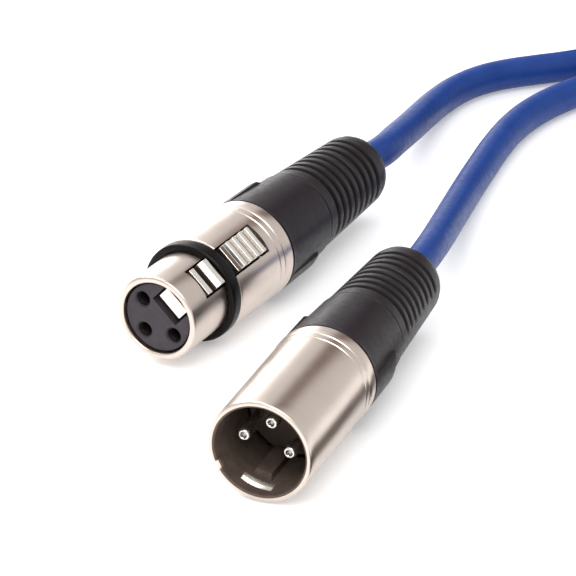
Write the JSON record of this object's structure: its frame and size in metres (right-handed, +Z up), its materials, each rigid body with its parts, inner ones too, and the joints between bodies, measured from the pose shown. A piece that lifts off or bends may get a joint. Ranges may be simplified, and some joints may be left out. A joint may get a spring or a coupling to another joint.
{
  "type": "xlr cable coil",
  "caption": "Balanced microphone cable with a latching socket plug and a pin plug, blue jacket, screw-on rear bushings and ribbed boots, folded into a tied hank.",
  "frame": {"origin": "on the floor, under the centre of the two plugs' footprint", "axes": "+Z up; +Y back along the pin plug's axis, from its open mouth to its cable; +X from the socket plug towards the pin plug"},
  "size_m": [0.0578, 0.3353, 0.0393],
  "materials": {
    "shell_nickel": "satin nickel plating on die-cast zinc, warm in tone, with fine wear on the rims",
    "latch_nickel": "nickel-plated latch lever, brighter and smoother than the shell",
    "contact_silver": "silver-plated turned contacts",
    "spring_steel": "plain spring steel",
    "moulded_black": "charcoal glass-filled nylon with a soft satin skin",
    "boot_rubber": "charcoal flexible boot with moulded grooves",
    "insert_plastic": "dark grey moulded contact carrier",
    "ring_rubber": "black rubber ring",
    "chuck_plastic": "natural acetal cable chuck",
    "cable_pvc": "blue semi-matt flexible cable jacket",
    "core_shield": "screen conductor in a clear grey sleeve",
    "core_red": "red core insulation",
    "core_white": "white core insulation",
    "tie_fabric": "black woven hook-and-loop strap"
  },
  "bodies": {
    "root": {"cable_female_end": "cable_pvc", "cable_hank": "cable_pvc", "cable_male_end": "cable_pvc", "cable_tie_1": "tie_fabric", "cable_tie_2": "tie_fabric", "female_cable_chuck": "chuck_plastic", "female_contact_1": "contact_silver", "female_contact_2": "contact_silver", "female_contact_3": "contact_silver", "female_core_1": "core_shield", "female_core_2": "core_red", "female_core_3": "core_white", "female_ground_tab": "spring_steel", "female_insert": "insert_plastic", "female_ring": "ring_rubber", "female_shell": "shell_nickel", "latch_axle": "spring_steel", "latch_spring": "spring_steel", "male_cable_chuck": "chuck_plastic", "male_contact_1": "contact_silver", "male_contact_2": "contact_silver", "male_contact_3": "contact_silver", "male_core_1": "core_shield", "male_core_2": "core_red", "male_core_3": "core_white", "male_ground_tab": "spring_steel", "male_insert": "insert_plastic", "male_shell": "shell_nickel"},
    "latch_body": {"latch_lever": "latch_nickel"},
    "female_boot_body": {"female_boot": "boot_rubber"},
    "female_bushing_body": {"female_bushing": "moulded_black"},
    "male_boot_body": {"male_boot": "boot_rubber"},
    "male_bushing_body": {"male_bushing": "moulded_black"}
  },
  "joints": [
    {"name": "latch_press", "type": "hinge", "parent": "root", "child": "latch_body", "pos_m": [-0.01081, 0.00807, 0.01388], "axis": [0.7355, -0.106, -0.6691], "range_deg": [0, 3], "stiffness_Nm_per_rad": 0.2, "springref_deg": -2.86},
    {"name": "female_boot_travel", "type": "slide", "parent": "root", "child": "female_boot_body", "axis": [0.1426, 0.9898, 0], "range_m": [0, 0.0038]},
    {"name": "female_bushing_turn", "type": "hinge", "parent": "female_boot_body", "child": "female_bushing_body", "pos_m": [-0.0184, -0.0169, 0.0095], "axis": [0.1426, 0.9898, 0], "range_deg": [0, 1368]},
    {"name": "male_boot_travel", "type": "slide", "parent": "root", "child": "male_boot_body", "axis": [0, 1, 0], "range_m": [0, 0.0038]},
    {"name": "male_bushing_turn", "type": "hinge", "parent": "male_boot_body", "child": "male_bushing_body", "pos_m": [0.01675, -0.0552, 0.0095], "axis": [0, 1, 0], "range_deg": [0, 1368]}
  ],
  "couplings": [
    {"joint": "female_bushing_turn", "follows": "female_boot_travel", "rad_per_m": 6283.2},
    {"joint": "male_bushing_turn", "follows": "male_boot_travel", "rad_per_m": 6283.2}
  ]
}
